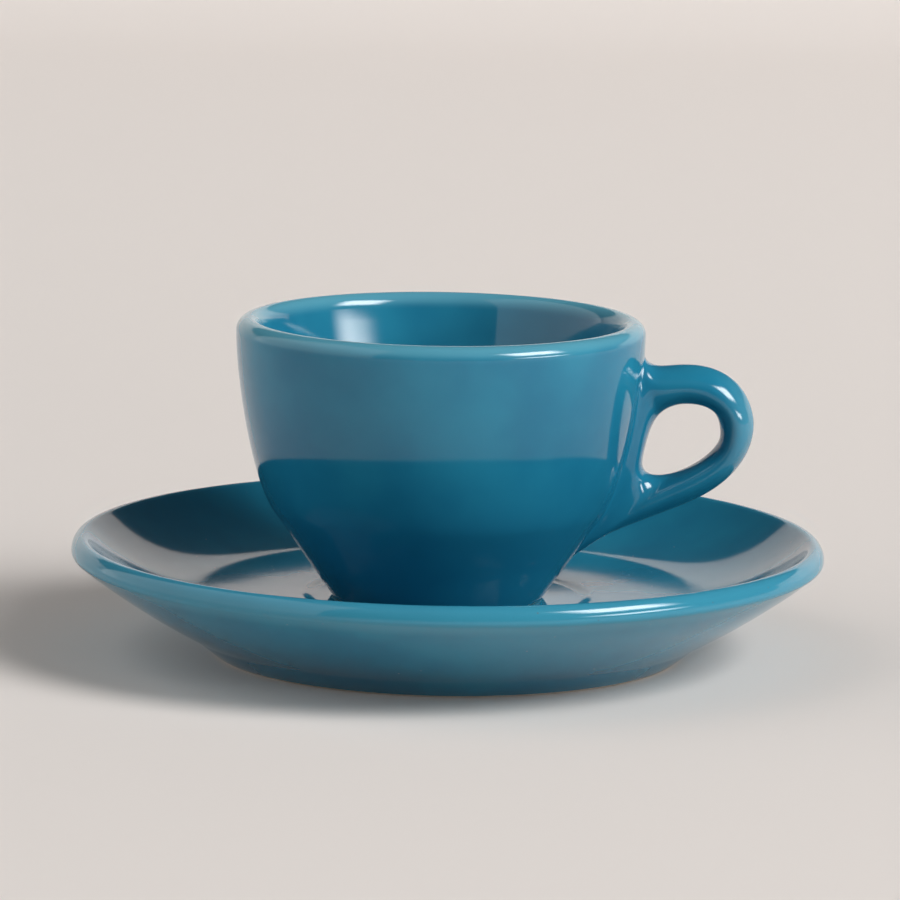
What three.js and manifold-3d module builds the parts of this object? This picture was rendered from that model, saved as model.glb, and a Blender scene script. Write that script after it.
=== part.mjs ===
// Espresso cup and saucer: a glazed bowl with a separately cast handle, standing in a dished saucer.
// Millimetres, +Z up. The origin is the centre of the saucer's foot, and the handle points along +X.

import * as THREE from 'three';
import { mergeVertices } from 'three/addons/utils/BufferGeometryUtils.js';
import Module from 'manifold-3d';

// Saucer, outside
const saucerRadius = 60;
const saucerHeight = 18.5;
const saucerLipReach = 1.7;
const saucerLipRise = 2.4;
const saucerLipFall = 3;
const saucerFootRadius = 37.6;
const saucerFootWidth = 4;
const saucerFootDepth = 4.2;
const saucerFootTaper = 3.2;
const saucerFootEdge = 0.6;
const heelRadius = 42.9;
const heelHeight = 3.3;
const undersideSlope = THREE.MathUtils.degToRad(34);
const undersideBow = 0.7;

// Saucer, inside
const flangeSlope = THREE.MathUtils.degToRad(41.5);
const flangeRun = 6.1;
const wellRadius = 38.3;
const wellSweep = 5.6;
const wellFall = 0.7;
const seatRadius = 20.9;
const seatEdgeWidth = 3;
const seatDepth = 0.35;
const seatThickness = 4.65;

// Cup bowl
const cupHeight = 44.75;
const cupRadius = 32.5;
const cupLipRadius = 2.1;
const cupLipDepth = 3;
const cupFootRadius = 16.65;
const cupFootWidth = 2.8;
const cupFootDepth = 1.2;
const cupFootEdge = 0.5;
const kneeRadius = 26.55;
const kneeHeight = 14.15;
const kneeRound = 5.5;
const wallRise = 8;
const boreSlope = THREE.MathUtils.degToRad(11.5);
const boreLength = 17;
const boreRound = 11;
const cupFloorThickness = 3.4;
const cupFloorFlat = 6;
const cupFloorRound = 10.5;
const cupOffset = -1.6;

// Handle: an oval ring with a back web that follows the wall of the bowl
const handleReach = 50.1;
const handleDrop = 7.1;
const handleWidth = 9;
const armRun = 12.5;
const armLift = 2;
const bowDrop = 10.2;
const bendRise = 7.9;
const bendFall = 1.6;
const bowDepth = 9;
const tailDrop = 11.1;
const tailRun = 8.2;
const tailSlope = THREE.MathUtils.degToRad(24.6);
const armThickness = 6.7;
const bowThickness = 5.4;
const tailThickness = 6;
const webThickness = 2.5;
const fingerInset = 4.8;
const fingerTail = 3.8;
const fingerCorner = 2;
const handleEdgeRadius = 2.3;
const handleEdgeDepth = 3.4;
const slipGap = 0.35;

// Fineness of the facets
const turns = 60;
const curveSteps = 6;
const earSteps = 10;
const edgeSteps = 4;
const fingerPoints = 7;
const weldDistance = 1e-4;

// Heights that follow from the thicknesses, and places on the handle that follow the rim and the reach
const seatHeight = saucerFootDepth + seatThickness;
const wellHeight = seatHeight + seatDepth + wellFall;
const cupFloor = cupFootDepth + cupFloorThickness;
const lipStart = cupHeight - cupLipRadius;
const handleTop = cupHeight - handleDrop;
const bendHeight = handleTop - bowDrop;
const tailRadius = handleReach - bowDepth;
const tailHeight = bendHeight - tailDrop;

const wasm = await Module();
wasm.setup();

// A closed half section, turned about the Z axis.
function revolve(section) {
  const geometry = new THREE.LatheGeometry(section.getPoints(curveSteps), turns);
  return geometry.rotateX(Math.PI / 2);
}

// Where on an upright oval its outward normal has a given angle.
function ovalAngle(normal, reach, rise) {
  return Math.atan2(rise * Math.sin(normal), reach * Math.cos(normal));
}

function toSolid(geometry) {
  const bare = geometry.clone();
  bare.deleteAttribute('normal');
  bare.deleteAttribute('uv');
  const merged = mergeVertices(bare, weldDistance);
  const vertProperties = Float32Array.from(merged.attributes.position.array);
  const triVerts = Uint32Array.from(merged.index.array);
  return new wasm.Manifold(new wasm.Mesh({ numProp: 3, vertProperties, triVerts }));
}

function toGeometry(solid) {
  const mesh = solid.getMesh();
  const geometry = new THREE.BufferGeometry();
  geometry.setAttribute('position', new THREE.BufferAttribute(mesh.vertProperties, 3));
  geometry.setIndex(new THREE.BufferAttribute(mesh.triVerts, 1));
  geometry.computeVertexNormals();
  return geometry;
}

// The direction up the cone below the knee.
const cone = new THREE.Vector2(kneeRadius - cupFootRadius, kneeHeight).normalize();

// The outside of the bowl from the foot to the lip, moved outwards by a clearance.
function drawWall(path, clearance) {
  path.lineTo(kneeRadius + clearance, kneeHeight);
  path.bezierCurveTo(
    kneeRadius + clearance + kneeRound * cone.x, kneeHeight + kneeRound * cone.y,
    cupRadius + clearance, lipStart - wallRise,
    cupRadius + clearance, lipStart,
  );
}

// The radius of the bowl's outside at a height, read from its own outline.
function wallRadiusAt(height) {
  const outline = new THREE.Path();
  outline.moveTo(cupFootRadius, 0);
  drawWall(outline, 0);
  const points = outline.getPoints(curveSteps);
  const above = points.findIndex((point, index) => index > 0 && point.y >= height);
  const low = points[above - 1];
  const high = points[above];
  return THREE.MathUtils.mapLinear(height, low.y, high.y, low.x, high.x);
}

function makeCupBody() {
  const lipCentre = cupRadius - cupLipRadius;
  const lipEnd = ovalAngle(Math.PI - boreSlope, cupLipRadius, cupLipDepth);
  const boreWay = new THREE.Vector2(-Math.sin(boreSlope), -Math.cos(boreSlope));
  const footInner = cupFootRadius - cupFootEdge - cupFootWidth;

  const section = new THREE.Path();
  section.moveTo(0, cupFootDepth);
  section.lineTo(footInner - cupFootDepth, cupFootDepth);
  section.lineTo(footInner, 0);
  section.lineTo(cupFootRadius - cupFootEdge, 0);
  section.lineTo(cupFootRadius + cupFootEdge * cone.x, cupFootEdge * cone.y);
  drawWall(section, 0);
  section.absarc(lipCentre, lipStart, cupLipRadius, 0, Math.PI / 2);
  section.absellipse(lipCentre, cupHeight - cupLipDepth, cupLipRadius, cupLipDepth, Math.PI / 2, lipEnd);
  const boreEnd = section.currentPoint.clone().addScaledVector(boreWay, boreLength);
  section.lineTo(boreEnd.x, boreEnd.y);
  section.bezierCurveTo(
    boreEnd.x + boreRound * boreWay.x, boreEnd.y + boreRound * boreWay.y,
    cupFloorFlat + cupFloorRound, cupFloor,
    cupFloorFlat, cupFloor,
  );
  section.lineTo(0, cupFloor);
  return revolve(section);
}

// The outer edge of the ear, from the root of its arm round to the end of its tail on the wall.
function drawEar() {
  const rootRadius = wallRadiusAt(handleTop);
  const ear = new THREE.Path();
  ear.moveTo(rootRadius, handleTop);
  ear.bezierCurveTo(
    rootRadius + armRun, handleTop + armLift, handleReach, bendHeight + bendRise, handleReach, bendHeight,
  );
  ear.bezierCurveTo(
    handleReach, bendHeight - bendFall,
    tailRadius + tailRun * Math.cos(tailSlope), tailHeight + tailRun * Math.sin(tailSlope),
    tailRadius, tailHeight,
  );
  ear.lineTo(cupFootRadius, tailHeight - (tailRadius - cupFootRadius) * Math.tan(tailSlope));
  return ear;
}

// The finger hole keeps the arm, bow and tail thickness inside the ear, and the web outside the wall.
function drawFingerHole(ear) {
  const lengths = ear.getCurveLengths();
  const first = fingerInset / ear.getLength();
  const bow = lengths[0] / ear.getLength();
  const last = (lengths[1] + fingerTail) / ear.getLength();
  const points = [];
  for (let step = 0; step < fingerPoints; step += 1) {
    const share = THREE.MathUtils.lerp(first, last, step / (fingerPoints - 1));
    const across = ear.getTangentAt(share).rotateAround(new THREE.Vector2(), -Math.PI / 2);
    const thickness = share < bow
      ? THREE.MathUtils.mapLinear(share, first, bow, armThickness, bowThickness)
      : THREE.MathUtils.mapLinear(share, bow, last, bowThickness, tailThickness);
    points.push(ear.getPointAt(share).addScaledVector(across, thickness));
  }
  const lowest = points.at(-1).y + fingerCorner;
  const highest = (lowest + points[0].y) / 2;
  points.push(new THREE.Vector2(wallRadiusAt(lowest) + webThickness, lowest));
  points.push(new THREE.Vector2(wallRadiusAt(highest) + webThickness, highest));
  const corners = points.map((point) => new THREE.Vector3(point.x, point.y, 0));
  const loop = new THREE.CatmullRomCurve3(corners, true);
  return new THREE.Path(loop.getSpacedPoints(points.length * edgeSteps).reverse());
}

// The ear with its hole in the plane of the handle: it runs on into the bowl, which then trims it.
function drawHandle() {
  const ear = drawEar();
  const outline = new THREE.Shape();
  const onAxis = new THREE.Vector2(0, handleTop);
  outline.setFromPoints([onAxis, ...ear.getPoints(earSteps), new THREE.Vector2()]);
  outline.holes.push(drawFingerHole(ear));
  return outline;
}

function makeCupHandle() {
  const ring = new THREE.ExtrudeGeometry(drawHandle(), {
    depth: handleWidth - 2 * handleEdgeDepth,
    bevelThickness: handleEdgeDepth,
    bevelSize: handleEdgeRadius,
    bevelOffset: -handleEdgeRadius,
    bevelSegments: edgeSteps,
  });
  ring.rotateX(Math.PI / 2);
  ring.translate(0, handleWidth / 2 - handleEdgeDepth, 0);

  const blank = new THREE.Path();
  blank.moveTo(0, -cupFootEdge);
  blank.lineTo(cupFootRadius + slipGap, -cupFootEdge);
  drawWall(blank, slipGap);
  blank.lineTo(0, lipStart);
  return toGeometry(toSolid(ring).subtract(toSolid(revolve(blank))));
}

function makeSaucer() {
  const lipCentre = new THREE.Vector2(saucerRadius - saucerLipReach, saucerHeight - saucerLipRise);
  const footAngle = ovalAngle(undersideSlope - Math.PI / 2, saucerLipReach, saucerLipFall);
  const headAngle = ovalAngle(flangeSlope + Math.PI / 2, saucerLipReach, saucerLipRise);
  const lipFoot = new THREE.Vector2(saucerLipReach * Math.cos(footAngle), saucerLipFall * Math.sin(footAngle));
  lipFoot.add(lipCentre);
  const footInner = saucerFootRadius - saucerFootEdge - saucerFootWidth;
  const seatEdge = seatRadius + seatEdgeWidth;
  const seatMiddle = seatRadius + seatEdgeWidth / 2;
  const seatTop = seatHeight + seatDepth;
  const wellSlope = wellFall / (wellRadius - seatEdge);

  const section = new THREE.Path();
  section.moveTo(0, saucerFootDepth);
  section.lineTo(footInner - saucerFootTaper, saucerFootDepth);
  section.lineTo(footInner, 0);
  section.lineTo(saucerFootRadius - saucerFootEdge, 0);
  section.lineTo(saucerFootRadius, saucerFootEdge / 2);
  section.lineTo(heelRadius, heelHeight);
  section.quadraticCurveTo(
    (heelRadius + lipFoot.x) / 2 + undersideBow, (heelHeight + lipFoot.y) / 2 - undersideBow,
    lipFoot.x, lipFoot.y,
  );
  section.absellipse(lipCentre.x, lipCentre.y, saucerLipReach, saucerLipFall, footAngle, 0);
  section.absellipse(lipCentre.x, lipCentre.y, saucerLipReach, saucerLipRise, 0, headAngle);
  const lipHead = section.currentPoint.clone();
  section.bezierCurveTo(
    lipHead.x - flangeRun, lipHead.y - flangeRun * Math.tan(flangeSlope),
    wellRadius + wellSweep, wellHeight + wellSweep * wellSlope,
    wellRadius, wellHeight,
  );
  section.lineTo(seatEdge, seatTop);
  section.bezierCurveTo(seatMiddle, seatTop, seatMiddle, seatHeight, seatRadius, seatHeight);
  section.lineTo(0, seatHeight);
  return revolve(section);
}

function glazed(color) {
  return new THREE.MeshStandardMaterial({ color, roughness: 0.12, metalness: 0 });
}

function named(name, geometry, material) {
  const mesh = new THREE.Mesh(geometry, material);
  mesh.name = name;
  return mesh;
}

const cup = new THREE.Group();
cup.position.set(cupOffset, 0, seatHeight);
cup.add(named('cup_body', makeCupBody(), glazed('#1f7596')));
cup.add(named('cup_handle', makeCupHandle(), glazed('#1f7596')));

const espressoSet = new THREE.Group();
espressoSet.add(named('saucer', makeSaucer(), glazed('#24799a')));
espressoSet.add(cup);

export default espressoSet;
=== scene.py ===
import bpy
import bmesh
from math import atan2, cos, pi, radians, sin, sqrt, tan
from mathutils import Matrix, Vector
from mathutils.geometry import interpolate_bezier


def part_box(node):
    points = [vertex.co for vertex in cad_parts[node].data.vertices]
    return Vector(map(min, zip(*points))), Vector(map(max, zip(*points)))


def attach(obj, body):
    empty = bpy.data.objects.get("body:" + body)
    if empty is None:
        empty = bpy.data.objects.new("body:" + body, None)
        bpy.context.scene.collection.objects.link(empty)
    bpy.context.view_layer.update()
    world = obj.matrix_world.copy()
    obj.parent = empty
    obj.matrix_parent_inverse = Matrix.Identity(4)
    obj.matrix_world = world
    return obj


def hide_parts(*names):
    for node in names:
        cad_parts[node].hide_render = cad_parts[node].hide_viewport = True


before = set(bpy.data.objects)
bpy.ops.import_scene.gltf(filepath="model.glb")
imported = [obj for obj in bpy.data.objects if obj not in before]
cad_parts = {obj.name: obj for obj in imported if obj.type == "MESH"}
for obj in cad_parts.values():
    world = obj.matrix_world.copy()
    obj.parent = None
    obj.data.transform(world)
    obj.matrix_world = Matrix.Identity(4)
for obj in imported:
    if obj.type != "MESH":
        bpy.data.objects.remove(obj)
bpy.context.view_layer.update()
mm = 0.001
mergeGap = 1e-4  # in mm, points this close become one
tiny = 1e-9  # less than this counts as nothing
scene = bpy.context.scene
scene.view_settings.view_transform = "Standard"
print("frame loaded:", sorted(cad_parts))

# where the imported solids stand, in mm
saucerLow, saucerHigh = (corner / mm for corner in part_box("saucer"))
bowlLow, bowlHigh = (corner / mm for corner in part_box("cup_body"))
saucerRadius = (saucerHigh.x - saucerLow.x) / 2
saucerHeight = saucerHigh.z - saucerLow.z
cupRadius = (bowlHigh.x - bowlLow.x) / 2
cupHeight = bowlHigh.z - bowlLow.z
cupPlace = Vector(((bowlHigh.x + bowlLow.x) / 2, 0, bowlLow.z))  # centre of the cup's foot
saucerPlace = Vector((0, 0, saucerLow.z))


# drawing half sections, x is the radius and z the height, in mm

def at(radius, height):
    return Vector((radius, 0, height))


def along(angle):
    return Vector((cos(angle), 0, sin(angle)))


def curve(start, startPull, endPull, end, steps):
    return interpolate_bezier(start, startPull, endPull, end, steps + 1)[1:]


def straight(start, end, steps):
    return [start.lerp(end, step / steps) for step in range(1, steps + 1)]


def bowed(start, pull, end, steps):
    # one pull shared by both ends
    return curve(start, start.lerp(pull, 2 / 3), end.lerp(pull, 2 / 3), end, steps)


def arc(centre, radius, first, last, steps):
    turn = (last - first) / steps
    return [centre + radius * along(first + turn * step) for step in range(steps + 1)]


def ovalArc(centre, wide, tall, firstNormal, lastNormal, steps):
    first, last = (atan2(tall * sin(normal), wide * cos(normal)) for normal in (firstNormal, lastNormal))
    angles = [first + (last - first) * step / steps for step in range(steps + 1)]
    return [centre + at(wide * cos(angle), tall * sin(angle)) for angle in angles]


def rounded(before, corner, after, radius, steps=5):
    start = corner + (before - corner).normalized() * radius
    end = corner + (after - corner).normalized() * radius
    return [start] + bowed(start, corner, end, steps)


# making pieces

def finishPiece(bm, name, place, materials):
    toMetres = Matrix.Scale(mm, 4) @ Matrix.Translation(place)
    bmesh.ops.transform(bm, matrix=toMetres, verts=bm.verts)
    for face in bm.faces:
        face.smooth = True
    mesh = bpy.data.meshes.new(name)
    bm.to_mesh(mesh)
    bm.free()
    piece = bpy.data.objects.new(name, mesh)
    scene.collection.objects.link(piece)
    for material in materials:
        mesh.materials.append(material)
    return piece


def spinSection(section, turns):
    bm = bmesh.new()
    points = [bm.verts.new(point) for point in section]
    edges = [bm.edges.new(pair) for pair in zip(points, points[1:])]
    bmesh.ops.spin(bm, geom=points + edges, cent=(0, 0, 0), axis=(0, 0, 1), angle=2 * pi,
                   steps=turns, use_merge=True)
    bmesh.ops.remove_doubles(bm, verts=bm.verts, dist=mergeGap)
    bmesh.ops.recalc_face_normals(bm, faces=bm.faces)
    return bm


# materials

def toLinear(hexColour):
    channels = [int(hexColour[i:i + 2], 16) / 255 for i in (1, 3, 5)]
    return [c / 12.92 if c <= 0.04045 else ((c + 0.055) / 1.055) ** 2.4 for c in channels] + [1]


def addNode(tree, kind, inputs, **settings):
    node = tree.nodes.new(kind)
    for name, value in settings.items():
        setattr(node, name, value)
    for socket, value in inputs.items():
        if isinstance(value, bpy.types.NodeSocket):
            tree.links.new(value, node.inputs[socket])
        else:
            node.inputs[socket].default_value = value
    return node


def startMaterial(name):
    material = bpy.data.materials.new(name)
    material.use_nodes = True
    material.node_tree.nodes.clear()
    return material, material.node_tree


def mixColours(tree, share, first, second):
    return addNode(tree, "ShaderNodeMix", {"Factor": share, "A": first, "B": second},
                   data_type="RGBA").outputs["Result"]


def smoothRamp(tree, value, start, end, top=1):
    return addNode(tree, "ShaderNodeMapRange",
                   {"Value": value, "From Min": start, "From Max": end, "To Max": top},
                   interpolation_type="SMOOTHSTEP").outputs[0]


def noise(tree, spot, size, detail):
    return addNode(tree, "ShaderNodeTexNoise",
                   {"Vector": spot, "Scale": 1 / (size * mm), "Detail": detail}).outputs["Fac"]


def bump(tree, height, depth):
    return addNode(tree, "ShaderNodeBump",
                   {"Height": height, "Distance": depth * mm, "Strength": 1}).outputs[0]


def glazedCeramic(name, place, look):
    # earthenware under a coloured lead free glaze: glassy, paler where the melt drew thin over an edge and
    # where a painted highlight stands for the light on lips and bow, deeper towards the foot where it
    # pooled and where painted shade darkens the lower parts, with a slow drift of tone and a few iron
    # specks
    material, tree = startMaterial(name)
    spot = addNode(tree, "ShaderNodeTexCoord", {}).outputs["Object"]
    centred = addNode(tree, "ShaderNodeMapping", {"Location": -place * mm, "Vector": spot}).outputs[0]
    axes = addNode(tree, "ShaderNodeSeparateXYZ", {"Vector": centred}).outputs
    flat = addNode(tree, "ShaderNodeCombineXYZ", {"X": axes["X"], "Y": axes["Y"]}).outputs[0]
    radius = addNode(tree, "ShaderNodeVectorMath", {0: flat}, operation="LENGTH").outputs["Value"]

    drift = noise(tree, centred, look["driftSize"], look["driftDetail"])
    tone = smoothRamp(tree, drift, look["driftLow"], look["driftHigh"])
    colour = mixColours(tree, tone, toLinear(look["deep"]), toLinear(look["body"]))

    measure = {"height": axes["Z"], "radius": radius}[look["thinAndLitAlong"]]
    # paler band: thin glaze over the edge plus a painted highlight where the light falls there
    thinAndLit = smoothRamp(tree, measure, look["thinAndLitFrom"] * mm, look["thinAndLitTo"] * mm, look["thinAndLitAmount"])
    colour = mixColours(tree, thinAndLit, colour, toLinear(look["thinAndLit"]))

    # darker towards the foot: pooled glaze plus painted shade low on the pieces
    pooledAndShaded = smoothRamp(tree, axes["Z"], look["poolAndShadeFrom"] * mm, look["poolAndShadeTo"] * mm, look["poolAndShadeAmount"])
    colour = mixColours(tree, pooledAndShaded, colour, toLinear(look["poolAndShade"]))

    grit = addNode(tree, "ShaderNodeTexVoronoi",
                   {"Vector": centred, "Scale": 1 / (look["speckSpacing"] * mm)}).outputs
    speckRadius = look["speckSize"] / look["speckSpacing"] / 2
    speck = addNode(tree, "ShaderNodeMapRange",
                    {"Value": grit["Distance"], "From Min": speckRadius,
                     "From Max": speckRadius * look["speckCore"], "To Max": look["speckAmount"]}).outputs[0]
    colour = mixColours(tree, speck, colour, toLinear(look["speck"]))

    ripple = noise(tree, centred, look["rippleSize"], look["rippleDetail"])
    wave = bump(tree, ripple, look["rippleDepth"])
    gloss = addNode(tree, "ShaderNodeMapRange",
                    {"Value": drift, "To Min": look["roughLow"], "To Max": look["roughHigh"]}).outputs[0]
    gloss = addNode(tree, "ShaderNodeMath", {0: speck, 1: look["speckRough"], 2: gloss},
                    operation="MULTIPLY_ADD").outputs[0]
    shader = addNode(tree, "ShaderNodeBsdfPrincipled",
                     {"Base Color": colour, "Roughness": gloss, "IOR": look["ior"], "Normal": wave})
    addNode(tree, "ShaderNodeOutputMaterial", {"Surface": shader.outputs[0]})
    return material


def bareClay(name, look):
    # fired clay wiped clean of glaze: dry, pale and slightly gritty
    material, tree = startMaterial(name)
    spot = addNode(tree, "ShaderNodeTexCoord", {}).outputs["Object"]
    grain = noise(tree, spot, look["grainSize"], look["grainDetail"])
    colour = mixColours(tree, grain, toLinear(look["dark"]), toLinear(look["pale"]))
    gritty = bump(tree, grain, look["gritDepth"])
    shader = addNode(tree, "ShaderNodeBsdfPrincipled",
                     {"Base Color": colour, "Roughness": look["rough"], "Normal": gritty})
    addNode(tree, "ShaderNodeOutputMaterial", {"Surface": shader.outputs[0]})
    return material


clayLook = {
    "dark": "#bdb4a8",
    "pale": "#e2dbd0",
    "grainSize": 0.6,
    "grainDetail": 4,
    "gritDepth": 0.06,
    "rough": 0.85,
}
# what the glaze of every piece has in common
glazeLook = {
    "driftDetail": 3,
    "driftLow": 0.35,
    "driftHigh": 0.65,
    # glaze pooled at the foot, also the colour of the painted shade low on the pieces
    "poolAndShade": "#0e5673",
    "speck": "#0b2430",
    "speckCore": 0.6,  # share of a speck's radius that is fully dark
    "speckRough": 0.9,
    "rippleDetail": 1,
    "rippleDepth": 0.01,
    "roughLow": 0.05,
    "roughHigh": 0.1,
    "ior": 1.5,
}
clay = bareClay("fired_bare_clay", clayLook)

# saucer
saucerForm = {
    "turns": 192,
    "lipWide": 1.7,
    "lipUp": 2.4,
    "lipDown": 1.2,
    "footRadius": 37.2,
    "footWidth": 4.2,
    "footDepth": 4.2,
    "footTaper": 3.2,
    "footRound": 0.6,
    "bareHeight": 0.35,
    "heel": (41.2, 3.25),
    "heelRound": 0.8,
    "underSlope": radians(37.3),
    "undersideBow": 0.75,
    "flangeSlope": radians(41.5),
    "flangeRun": 6.1,
    "well": (38.3, 9.9),
    "wellSweep": 5.6,
    "seatEdge": (23.9, 9.2),
    "seat": (20.9, 8.85),
    "heelPull": 0.6,
    "lipPull": 2 / 3,
    "lipOuterSteps": 8,
    "lipInnerSteps": 10,
    "undersideSteps": 16,
    "flangeSteps": 32,
    "wellSteps": 6,
    "seatEdgeSteps": 8,
    "seatSteps": 5,
}
saucerLook = {
    **glazeLook,
    "body": "#1f7f9c",
    "deep": "#1a7290",
    # pale rim colour: thin glaze at the lip plus painted highlight where the light falls on it
    "thinAndLit": "#3f8ea6",
    "driftSize": 22,
    "thinAndLitAlong": "radius",
    "thinAndLitFrom": saucerRadius - 3,
    "thinAndLitTo": saucerRadius - 0.6,
    "thinAndLitAmount": 0.7,
    # darker towards the foot: pooled glaze plus painted shade on the underside
    "poolAndShadeFrom": 13,
    "poolAndShadeTo": 2,
    "poolAndShadeAmount": 0.15,
    "speckSpacing": 3.2,
    "speckSize": 0.35,
    "speckAmount": 0.5,
    "rippleSize": 9,
}


def makeSaucer(form, look):
    lipCentre = at(saucerRadius - form["lipWide"], saucerHeight - form["lipUp"])
    heel = at(*form["heel"])
    lipOuter = ovalArc(lipCentre, form["lipWide"], form["lipDown"],
                       form["underSlope"] - pi / 2, 0, form["lipOuterSteps"])
    lipInner = ovalArc(lipCentre, form["lipWide"], form["lipUp"],
                       0, form["flangeSlope"] + pi / 2, form["lipInnerSteps"])
    lipFoot, lipHead = lipOuter[0], lipInner[-1]
    footOuter = at(form["footRadius"], 0)
    footInner = at(form["footRadius"] - form["footWidth"], 0)
    recess = at(footInner.x - form["footTaper"], form["footDepth"])
    middle = at(0, form["footDepth"])
    well = at(*form["well"])
    seatEdge = at(*form["seatEdge"])
    seat = at(*form["seat"])
    bow = heel.lerp(lipFoot, 0.5) + form["undersideBow"] * at(1, -1)
    flangePull = lipHead - form["flangeRun"] * at(1, tan(form["flangeSlope"]))

    section = [middle, at(recess.x / 2, middle.z)]
    section += rounded(middle, recess, footInner, form["footRound"])
    section += rounded(recess, footInner, footOuter, form["footRound"])
    section += rounded(footInner, footOuter, heel, form["footRound"])
    section += rounded(footOuter, heel, bow, form["heelRound"])
    underside = section[-1]
    section += curve(underside, underside.lerp(bow, form["heelPull"]),
                     lipFoot.lerp(bow, form["lipPull"]), lipFoot, form["undersideSteps"])
    section += lipOuter[1:] + lipInner[1:]
    wellPull = well + form["wellSweep"] * (well - seatEdge).normalized()
    section += curve(lipHead, flangePull, wellPull, well, form["flangeSteps"])
    section += straight(well, seatEdge, form["wellSteps"])
    seatMiddle = (seatEdge.x + seat.x) / 2
    section += curve(seatEdge, at(seatMiddle, seatEdge.z), at(seatMiddle, seat.z),
                     seat, form["seatEdgeSteps"])
    section += straight(seat, at(0, seat.z), form["seatSteps"])

    bm = spinSection(section, form["turns"])
    for face in bm.faces:
        face.material_index = int(face.calc_center_median().z < form["bareHeight"])
    glaze = glazedCeramic("saucer_teal_glaze", saucerPlace, look)
    return finishPiece(bm, "saucer_dish", saucerPlace, [glaze, clay])


saucer = makeSaucer(saucerForm, saucerLook)
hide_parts("saucer")
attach(saucer, "saucer")
print("saucer made:", len(saucer.data.polygons), "faces")

# cup bowl
bowlForm = {
    "turns": 192,
    "lip": 2.1,
    "lipDepth": 3,
    "footRadius": 16.65,
    "footWidth": 3.3,
    "footDepth": 1.2,
    "footRound": 0.5,
    "bareHeight": 0.3,
    "knee": (26.55, 14.15),
    "kneeRound": 5.5,
    "wallRise": 8,
    "boreSlope": radians(11.5),
    "boreLength": 17,
    "boreRound": 11,
    "floor": 4.6,
    "floorFlat": 6,
    "floorRound": 10.5,
    "coneSteps": 12,
    "wallSteps": 36,
    "lipOuterSteps": 12,
    "lipInnerSteps": 14,
    "boreSteps": 8,
    "boreRoundSteps": 24,
    "floorSteps": 3,
}
bowlLook = {
    **glazeLook,
    "body": "#247f9c",
    "deep": "#1b7190",
    # pale lip colour: thin glaze plus painted highlight on the lit lip
    "thinAndLit": "#5a9db0",
    "driftSize": 20,
    "thinAndLitAlong": "height",
    "thinAndLitFrom": cupHeight - 2.6,
    "thinAndLitTo": cupHeight - 0.4,
    "thinAndLitAmount": 0.8,
    # darker towards the foot: pooled glaze plus painted shade on the lower wall near the saucer
    "poolAndShadeFrom": 36,
    "poolAndShadeTo": 6,
    "poolAndShadeAmount": 0.65,
    "speckSpacing": 6,
    "speckSize": 0.3,
    "speckAmount": 0.35,
    "rippleSize": 10,
}


def outerWall(form):
    foot = at(form["footRadius"], 0)
    knee = at(*form["knee"])
    lipStart = at(cupRadius, cupHeight - form["lip"])
    pull = knee + form["kneeRound"] * (knee - foot).normalized()
    cone = [foot] + straight(foot, knee, form["coneSteps"])
    return cone + curve(knee, pull, lipStart - at(0, form["wallRise"]), lipStart, form["wallSteps"])


def wallRadius(height):
    wall = outerWall(bowlForm)
    for low, high in zip(wall, wall[1:]):
        if high.z >= height:
            break
    return low.x + (high.x - low.x) * (height - low.z) / (high.z - low.z)


def makeBowl(form, look):
    foot = at(form["footRadius"], 0)
    knee = at(*form["knee"])
    lipCentre = at(cupRadius - form["lip"], cupHeight - form["lip"])
    lipInner = ovalArc(at(lipCentre.x, cupHeight - form["lipDepth"]), form["lip"], form["lipDepth"],
                       pi / 2, pi - form["boreSlope"], form["lipInnerSteps"])
    boreWay = -along(pi / 2 - form["boreSlope"])
    boreEnd = lipInner[-1] + form["boreLength"] * boreWay
    floorFlat = at(form["floorFlat"], form["floor"])
    footInner = at(form["footRadius"] - form["footWidth"], 0)
    recess = at(footInner.x - form["footDepth"], form["footDepth"])
    middle = at(0, form["footDepth"])

    section = [middle, at(recess.x / 2, middle.z)]
    section += rounded(middle, recess, footInner, form["footRound"])
    section += rounded(recess, footInner, foot, form["footRound"])
    section += rounded(footInner, foot, knee, form["footRound"])
    section += outerWall(form)[1:]
    section += arc(lipCentre, form["lip"], 0, pi / 2, form["lipOuterSteps"])[1:] + lipInner[1:]
    section += straight(lipInner[-1], boreEnd, form["boreSteps"])
    section += curve(boreEnd, boreEnd + form["boreRound"] * boreWay,
                     floorFlat + at(form["floorRound"], 0), floorFlat, form["boreRoundSteps"])
    section += straight(floorFlat, at(0, form["floor"]), form["floorSteps"])

    bm = spinSection(section, form["turns"])
    for face in bm.faces:
        face.material_index = int(face.calc_center_median().z < form["bareHeight"])
    glaze = glazedCeramic("cup_teal_glaze", cupPlace, look)
    return finishPiece(bm, "cup_bowl", cupPlace, [glaze, clay])


bowl = makeBowl(bowlForm, bowlLook)
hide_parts("cup_body")
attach(bowl, "cup")
print("bowl made:", len(bowl.data.polygons), "faces")

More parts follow.
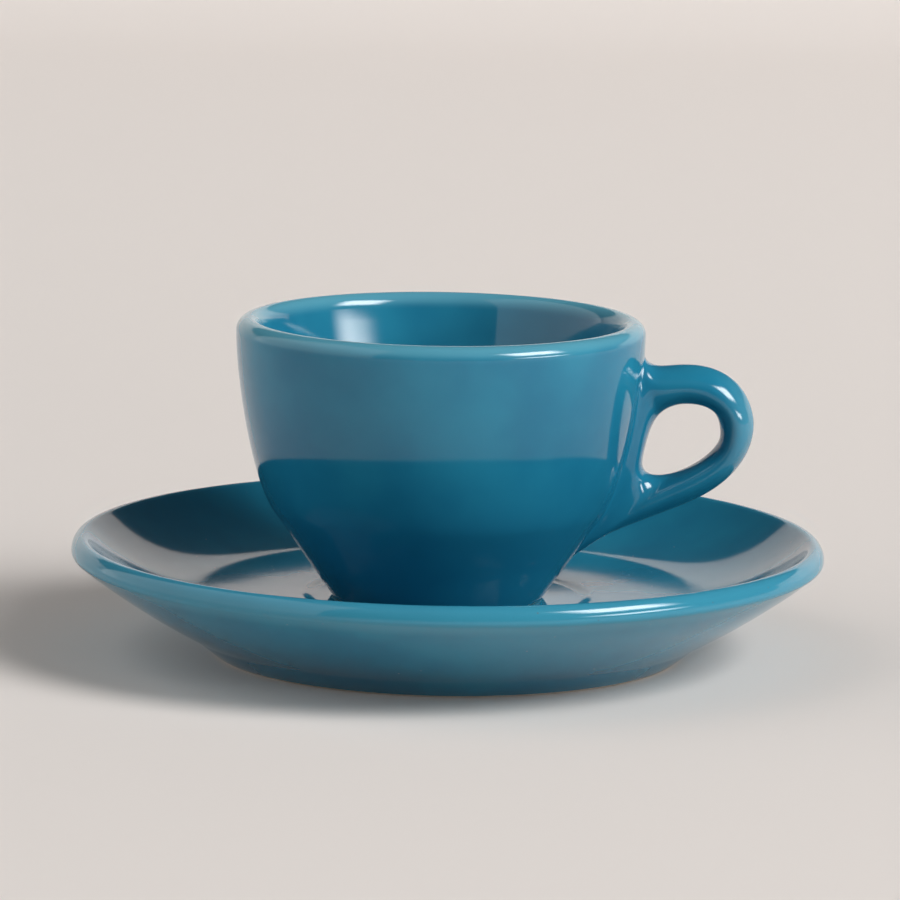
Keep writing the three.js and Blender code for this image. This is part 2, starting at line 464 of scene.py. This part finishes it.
# handle: the crest runs from the wall over the arm, round the bow and down the tail to the wall again,
# and the skin goes from the rim of the finger hole over the side to that crest
handleForm = {
    "topRoot": 40.65,
    "armStart": (35.1, 37.75),
    "armAngle": radians(11.2),
    "armPull": 12.4,
    "bow": (50.15, 28.25),
    "bowRise": 3.8,
    "bowFall": 3.6,
    "tail": (38.7, 15.1),
    "tailAngle": radians(21.8),
    "tailPull": 10,
    "tailEnd": 28.5,
    "lowRoot": 5.35,
    "rootPull": 2.2,
    "lowRootPull": 3.08,
    # corners of the finger hole: place, the way the rim runs through it, its pull before and after
    "hole": (
        ((32.45, 22.75), pi / 2 - 0.2, 3, 4),
        ((39.4, 31.55), 0, 5.45, 3.8),
        ((44.6, 26.4), -pi / 2, 3.8, 1),
        ((37.6, 20.75), 0.27 - pi, 4.7, 3),
    ),
    "halfWidth": 4.7,
    "webHalfWidth": 1.2,
    "webShare": 0.17,  # share of the hole's rim on either side of the middle of the web
    "sideFullness": 0.8,
    "flare": 7.5,
    "flareRound": 0.5,
    "sink": 0.3,
    "rootDepth": 1.2,
    "lowest": 0.1,
    "sections": 9,
    "wallStations": 16,
    "rootSteps": 4,
    "armSteps": 14,
    "bowSteps": 12,
    "tailSteps": 5,
    "lowRootSteps": 5,
    "holeSteps": 16,
    "wipeRounds": 6,
    "wipeAmount": 0.5,
    "smoothing": 2,
}
# outer bow painted paler as a painted highlight where the light falls on it; lower part darker, pooled
# glaze plus painted shade
handleLook = dict(bowlLook, thinAndLitAlong="radius", thinAndLitFrom=43, thinAndLitTo=51, thinAndLitAmount=0.5, poolAndShadeAmount=0.25)


def crestLine(form):
    wallDirection = (at(*bowlForm["knee"]) - at(bowlForm["footRadius"], 0)).normalized()
    topRoot = at(wallRadius(form["topRoot"]) - form["sink"], form["topRoot"])
    armStart = at(*form["armStart"])
    bow = at(*form["bow"])
    tail = at(*form["tail"])
    tailWay = along(form["tailAngle"])
    tailEnd = tail - tailWay * (tail.x - form["tailEnd"]) / tailWay.x
    lowRoot = at(wallRadius(form["lowRoot"]) - form["sink"], form["lowRoot"])
    line = [topRoot]
    line += curve(topRoot, topRoot - at(0, form["rootPull"]),
                  armStart - at(form["rootPull"], 0), armStart, form["rootSteps"])
    line += curve(armStart, armStart + form["armPull"] * along(form["armAngle"]),
                  bow + at(0, form["bowRise"]), bow, form["armSteps"])
    line += curve(bow, bow - at(0, form["bowFall"]),
                  tail + form["tailPull"] * tailWay, tail, form["bowSteps"])
    line += straight(tail, tailEnd, form["tailSteps"])
    line += curve(tailEnd, tailEnd - form["lowRootPull"] * tailWay,
                  lowRoot + form["rootPull"] * wallDirection, lowRoot, form["lowRootSteps"])
    return line


def holeLine(form):
    corners = [(at(*place), along(way), before, after) for place, way, before, after in form["hole"]]
    line = [corners[0][0]]
    nextCorners = corners[1:] + corners[:1]
    for (start, startWay, _, startPull), (end, endWay, endPull, _) in zip(corners, nextCorners):
        line += curve(start, start + startPull * startWay, end - endPull * endWay, end, form["holeSteps"])
    return line


def spaced(line, shares):
    lengths = [0]
    for a, b in zip(line, line[1:]):
        lengths.append(lengths[-1] + (b - a).length)
    points = []
    for share in shares:
        goal = min(share, 1) * lengths[-1]
        index = next(i for i in range(1, len(lengths)) if lengths[i] >= goal - tiny)
        step = (goal - lengths[index - 1]) / (lengths[index] - lengths[index - 1])
        points.append(line[index - 1].lerp(line[index], step))
    return points


def makeHandle(form, look):
    crest = crestLine(form)
    earCount = len(crest)
    wallCount = form["wallStations"]
    webShare = form["webShare"]
    earShares = [webShare + (1 - 2 * webShare) * i / (earCount - 1) for i in range(earCount)]
    wallShares = [1 - webShare + 2 * webShare * i / (wallCount + 1) for i in range(1, wallCount + 1)]
    inner = spaced(holeLine(form), earShares + [share % 1 for share in wallShares])

    stations = []
    for point in crest:
        stations.append((point, form["halfWidth"], 0, 0))
    for i in range(1, wallCount + 1):
        share = i / (wallCount + 1)
        height = form["lowRoot"] + (form["topRoot"] - form["lowRoot"]) * share
        swell = sin(pi * share)
        flare = form["flare"] * swell ** form["flareRound"]
        bulge = max(form["webHalfWidth"], form["halfWidth"] - flare / 2)
        stations.append((at(wallRadius(height) - form["sink"], height), bulge, flare, 1))

    def skinPoint(index, share):
        outer, bulge, flare, hug = stations[index]
        blend = (1 - cos(pi * share)) / 2
        point = inner[index].lerp(outer, blend)
        spread = share + form["sideFullness"] * sin(2 * pi * share) / (2 * pi)
        point.y = bulge * sin(pi * share) + flare * spread
        radius = wallRadius(max(point.z, form["lowest"]))
        point.x -= hug * blend * (radius - sqrt(radius ** 2 - point.y ** 2))
        return point

    bm = bmesh.new()
    held = bm.verts.layers.int.new("held")
    rim = ring = [bm.verts.new(point) for point in inner]
    edges = [bm.edges.new((a, b)) for a, b in zip(ring, ring[1:] + ring[:1])]
    for level in range(1, form["sections"] + 1):
        grown = bmesh.ops.extrude_edge_only(bm, edges=edges)["geom"]
        fresh = [v for v in grown if isinstance(v, bmesh.types.BMVert)]
        following = {}
        for vert in fresh:
            source = next(e.other_vert(vert) for e in vert.link_edges if e.other_vert(vert) in ring)
            following[source] = vert
        ring = [following[vert] for vert in ring]
        edges = [e for e in grown if isinstance(e, bmesh.types.BMEdge)]
        edges = [e for e in edges if e.verts[0] in fresh and e.verts[1] in fresh]
        for index, vert in enumerate(ring):
            vert.co = skinPoint(index, level / form["sections"])

    # the border on the wall runs on into the clay, so that the skin closes out of sight
    wallEdges = [e for e in edges if max(v.co.y for v in e.verts) > tiny]
    root = bmesh.ops.extrude_edge_only(bm, edges=wallEdges)["geom"]
    rootVerts = [v for v in root if isinstance(v, bmesh.types.BMVert)]
    for vert in rootVerts:
        flatPart = Vector((vert.co.x, vert.co.y, 0))
        vert.co -= form["rootDepth"] * flatPart.normalized()
    for vert in rim + ring + rootVerts:
        vert[held] = 1
    bmesh.ops.mirror(bm, geom=bm.verts[:] + bm.edges[:] + bm.faces[:], axis="Y", merge_dist=mergeGap)
    bmesh.ops.remove_doubles(bm, verts=bm.verts, dist=mergeGap)

    # the sides are wiped smooth where arm and tail run on to the web
    sides = [v for v in bm.verts if not v[held]]
    for turn in range(form["wipeRounds"]):
        bmesh.ops.smooth_vert(bm, verts=sides, factor=form["wipeAmount"],
                              use_axis_x=True, use_axis_y=True, use_axis_z=True)
    bmesh.ops.holes_fill(bm, edges=[e for e in bm.edges if e.is_boundary], sides=0)
    bmesh.ops.recalc_face_normals(bm, faces=bm.faces)
    glaze = glazedCeramic("handle_teal_glaze", cupPlace, look)
    piece = finishPiece(bm, "cup_ear", cupPlace, [glaze])
    rounder = piece.modifiers.new("rounder", "SUBSURF")
    rounder.levels = rounder.render_levels = form["smoothing"]
    return piece


handle = makeHandle(handleForm, handleLook)
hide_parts("cup_handle")
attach(handle, "cup")
print("handle made:", len(handle.data.polygons), "faces")

# stage: a pale paper sweep, a softbox on the right with a low one below it, a card on the left, a dim room
stageForm = {
    "width": 5000,
    "front": -2500,
    "bend": 1000,
    "bendRadius": 350,
    "bendSteps": 12,
    "top": 620,
    "paper": "#e3dcd7",
    "paperRough": 0.9,
    "paperSpecular": 0.1,
    "glow": 0.03,  # share of the paper that the eye sees lit through from behind
    "glowStrength": 0.95,
    "room": "#ffffff",
    "roomStrength": 0.05,
}


def makeSweep(form):
    bm = bmesh.new()
    centre = Vector((0, form["bend"], form["bendRadius"]))
    profile = [Vector((0, form["front"], 0))]
    for step in range(form["bendSteps"] + 1):
        angle = pi / 2 * (step / form["bendSteps"] - 1)
        profile.append(centre + form["bendRadius"] * Vector((0, cos(angle), sin(angle))))
    profile.append(Vector((0, form["bend"] + form["bendRadius"], form["top"])))
    points = [bm.verts.new(point - Vector((form["width"] / 2, 0, 0))) for point in profile]
    edges = [bm.edges.new(pair) for pair in zip(points, points[1:])]
    grown = bmesh.ops.extrude_edge_only(bm, edges=edges)["geom"]
    farSide = [v for v in grown if isinstance(v, bmesh.types.BMVert)]
    bmesh.ops.translate(bm, vec=(form["width"], 0, 0), verts=farSide)
    bmesh.ops.recalc_face_normals(bm, faces=bm.faces)
    paper, tree = startMaterial("matt_paper")
    sheet = addNode(tree, "ShaderNodeBsdfPrincipled",
                    {"Base Color": toLinear(form["paper"]), "Roughness": form["paperRough"],
                     "Specular IOR Level": form["paperSpecular"]})
    through = addNode(tree, "ShaderNodeEmission",
                      {"Color": toLinear(form["paper"]), "Strength": form["glowStrength"]})
    ray = addNode(tree, "ShaderNodeLightPath", {}).outputs
    seen = ray["Is Camera Ray"]
    for mirrored in ("Is Glossy Ray", "Is Transmission Ray"):
        seen = addNode(tree, "ShaderNodeMath", {0: seen, 1: ray[mirrored]}, operation="MAXIMUM").outputs[0]
    share = addNode(tree, "ShaderNodeMath", {0: seen, 1: form["glow"]}, operation="MULTIPLY").outputs[0]
    paperLook = addNode(tree, "ShaderNodeMixShader", {0: share, 1: sheet.outputs[0], 2: through.outputs[0]})
    addNode(tree, "ShaderNodeOutputMaterial", {"Surface": paperLook.outputs[0]})
    sweep = finishPiece(bm, "paper_sweep", Vector(), [paper])


makeSweep(stageForm)

# place and aim in metres, width, height, watts, and the share of the cloth that fades out at its edges
lampForms = {
    "key_softbox": ((2.12, -1.18, 1.96), (0, 0, 0), 2.1, 1.65, 190, 0.3),
    "low_softbox": ((2.63, -1.58, 0.57), (0, 0, 0), 2.35, 0.52, 57, 0.4),
    "front_panel": ((0, -1.29, 1.53), (0, 0, 0), 2.4, 1.0, 0.8, 0),
    "left_card": ((-1.44, -0.18, 1.8), (0, 0, 1.8), 2.9, 3.6, 30, 0),
    "backdrop_wash": ((0, 0.3, 1.0), (0, 1.3, 0.75), 3.0, 0.4, 5, 0),
}


def fadeEdges(lamp, share):
    half = 0.5  # the cloth runs from 0 to 1 both ways
    lamp.use_nodes = True
    tree = lamp.node_tree
    tree.nodes.clear()
    spot = addNode(tree, "ShaderNodeNewGeometry", {}).outputs["Parametric"]
    centred = addNode(tree, "ShaderNodeVectorMath", {0: spot, 1: (half, half, 0)},
                      operation="SUBTRACT").outputs[0]
    outward = addNode(tree, "ShaderNodeVectorMath", {0: centred}, operation="ABSOLUTE").outputs[0]
    axes = addNode(tree, "ShaderNodeSeparateXYZ", {"Vector": outward}).outputs
    fades = [smoothRamp(tree, axes[name], half, half - share) for name in ("X", "Y")]
    strength = addNode(tree, "ShaderNodeMath", {0: fades[0], 1: fades[1]}, operation="MULTIPLY").outputs[0]
    cloth = addNode(tree, "ShaderNodeEmission", {"Strength": strength})
    addNode(tree, "ShaderNodeOutputLight", {"Surface": cloth.outputs[0]})


def makeLamp(name, place, aim, width, height, watts, fade):
    lamp = bpy.data.lights.new(name, "AREA")
    lamp.shape = "RECTANGLE"
    lamp.size = width
    lamp.size_y = height
    lamp.energy = watts
    if fade:
        fadeEdges(lamp, fade)
    panel = bpy.data.objects.new(name, lamp)
    scene.collection.objects.link(panel)
    panel.location = place
    panel.rotation_euler = (Vector(aim) - Vector(place)).to_track_quat("-Z", "Y").to_euler()


for name, form in lampForms.items():
    makeLamp(name, *form)

world = bpy.data.worlds.new("dim_room")
scene.world = world
world.use_nodes = True
world.node_tree.nodes["Background"].inputs["Color"].default_value = toLinear(stageForm["room"])
world.node_tree.nodes["Background"].inputs["Strength"].default_value = stageForm["roomStrength"]
print("stage made")

# camera: the photograph's eye
cameraForm = {
    "target": Vector((0.11, 0, 32.42)),
    "distance": 900,
    "elevation": radians(9.46),
    "roll": radians(0.9),
    "focalPixels": 5652,
    "framePixels": 900,
    "sensor": 36,
    "clipEnd": 20000,
}
eye = bpy.data.cameras.new("camera")
eye.sensor_width = cameraForm["sensor"]
eye.lens = cameraForm["focalPixels"] / cameraForm["framePixels"] * cameraForm["sensor"]
eye.clip_end = cameraForm["clipEnd"] * mm
camera = bpy.data.objects.new("camera", eye)
scene.collection.objects.link(camera)
back = Vector((0, -cos(cameraForm["elevation"]), sin(cameraForm["elevation"])))
aimed = (-back).to_track_quat("-Z", "Y").to_matrix().to_4x4()
rolled = aimed @ Matrix.Rotation(cameraForm["roll"], 4, "Z")
eyePlace = (cameraForm["target"] + back * cameraForm["distance"]) * mm
camera.matrix_world = Matrix.Translation(eyePlace) @ rolled
scene.camera = camera
print("camera set")
